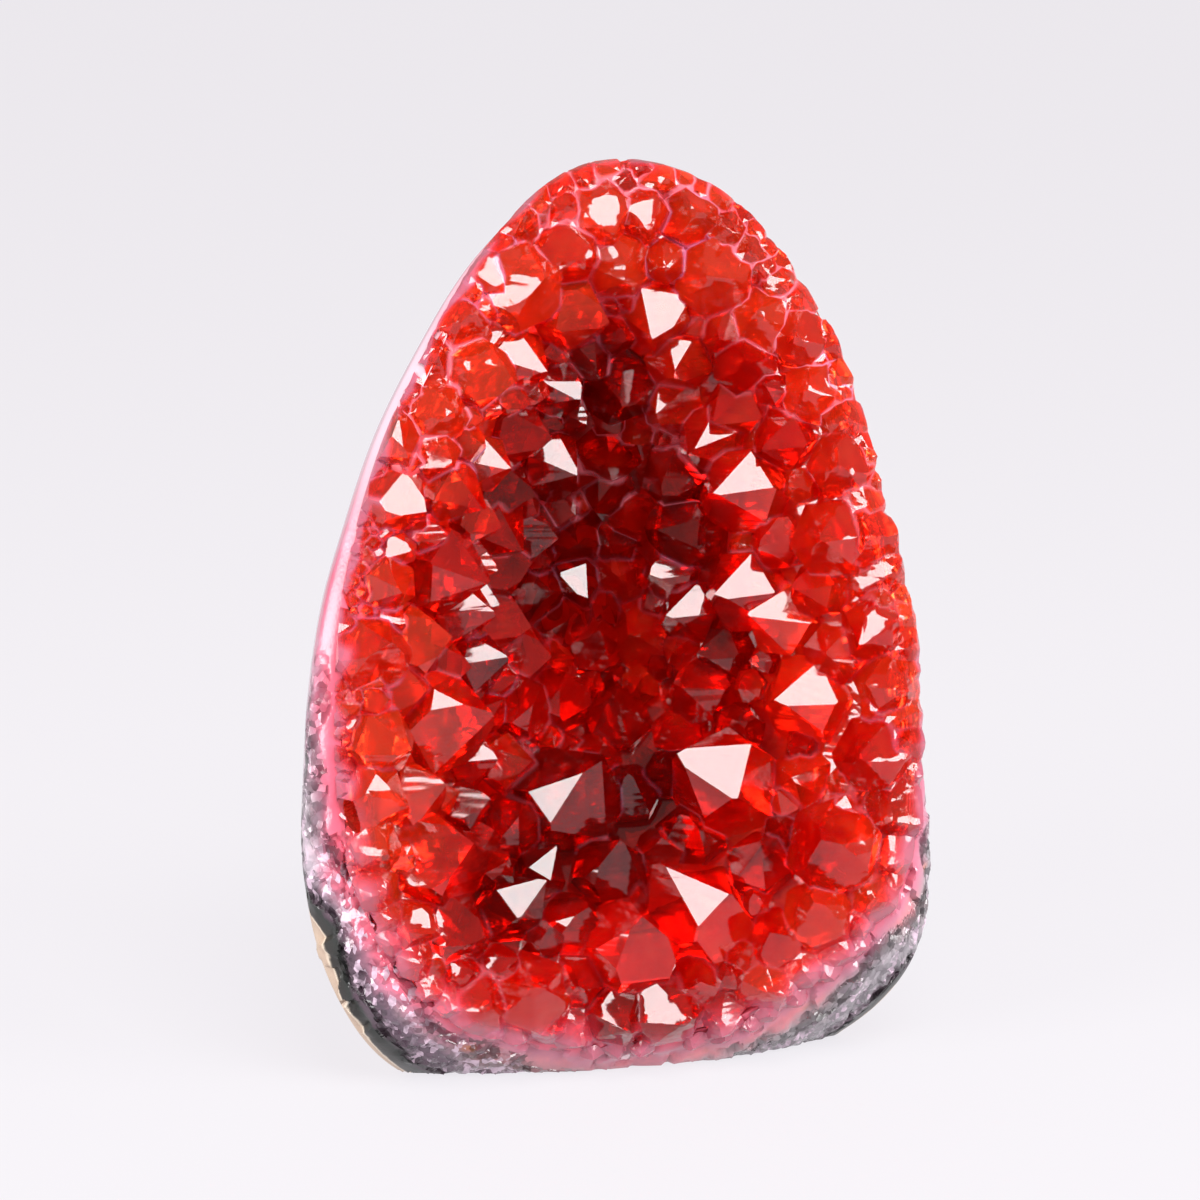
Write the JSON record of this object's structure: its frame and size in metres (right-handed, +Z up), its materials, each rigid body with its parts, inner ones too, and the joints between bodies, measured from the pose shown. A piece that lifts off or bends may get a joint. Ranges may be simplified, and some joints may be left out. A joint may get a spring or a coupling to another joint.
{
  "type": "quartz geode cluster",
  "caption": "Free-standing cut-base geode, an egg-shaped stone nodule open at the front, its hollow lined with red quartz crystals.",
  "frame": {"origin": "middle of the bounding box's bottom, on the plane of the sawn foot", "axes": "+Z up, the open side with the crystals towards -Y, +X to its right"},
  "size_m": [0.0896, 0.0732, 0.1251],
  "materials": {
    "geode_stone": "polished banded agate sides, rough rim, sawn foot",
    "red_quartz": "clear red quartz points with smooth glossy faces"
  },
  "bodies": {
    "root": {"geode_shell": "geode_stone", "crystal_crust": "red_quartz"}
  },
  "joints": []
}
